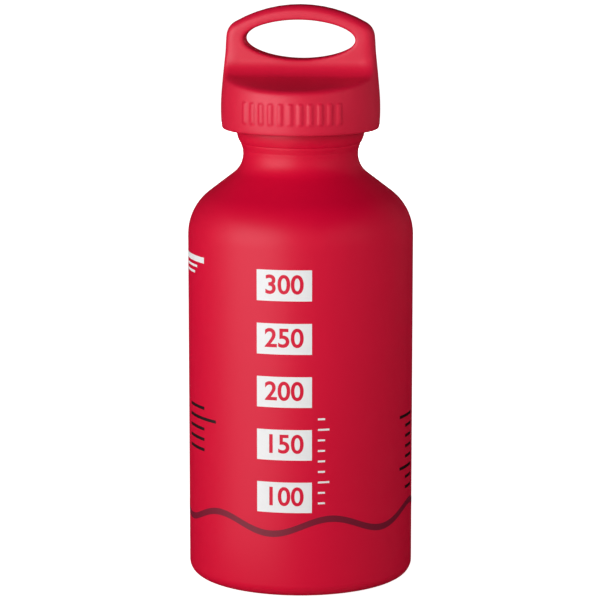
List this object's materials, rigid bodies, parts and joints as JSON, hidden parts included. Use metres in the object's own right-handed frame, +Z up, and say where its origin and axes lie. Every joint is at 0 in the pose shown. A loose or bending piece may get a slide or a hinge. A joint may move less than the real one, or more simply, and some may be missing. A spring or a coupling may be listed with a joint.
{
  "type": "camping fuel bottle",
  "caption": "Small red aluminium fuel bottle with a rounded shoulder, narrow neck and a push-and-turn screw cap with a carrying handle.",
  "frame": {"origin": "middle of the foot, on the surface that the bottle stands on", "axes": "+Z up along the bottle's axis; the cap's handle lies in the XZ plane, and -Y faces the picture's camera"},
  "size_m": [0.066, 0.066, 0.1684],
  "materials": {
    "red_lacquer": "opaque red satin lacquer on drawn aluminium",
    "bare_aluminium": "turned",
    "black_rubber": "moulded",
    "natural_nylon": "moulded",
    "stainless_steel": "drawn wire and strip",
    "red_plastic": "fine moulded texture"
  },
  "bodies": {
    "bottle": {"bottle_shell": "red_lacquer", "thread_insert": "bare_aluminium"},
    "seal": {"mouth_seal": "black_rubber"},
    "plug": {"screw_plug": "natural_nylon"},
    "spring_set": {"return_spring": "stainless_steel", "slip_washer": "stainless_steel"},
    "cap": {"outer_cap": "red_plastic", "retaining_ring": "stainless_steel"}
  },
  "joints": [
    {"name": "cap_rise", "type": "slide", "parent": "bottle", "child": "seal", "axis": [0, 0, 1], "range_m": [0, 0.012]},
    {"name": "cap_turn", "type": "hinge", "parent": "seal", "child": "plug", "pos_m": [0, 0, 0.137], "axis": [0, 0, 1], "range_deg": [0, 1440]},
    {"name": "cap_slip", "type": "hinge", "parent": "plug", "child": "spring_set", "pos_m": [0, 0, 0.1298], "axis": [0, 0, 1], "continuous": true},
    {"name": "cap_press", "type": "slide", "parent": "spring_set", "child": "cap", "axis": [0, 0, 1], "range_m": [-0.0016, 0], "stiffness_N_per_m": 3000, "springref_m": 0.003, "deforming": ["return_spring"]}
  ],
  "couplings": [
    {"joint": "cap_rise", "follows": "cap_turn", "m_per_rad": 0.00047746}
  ]
}
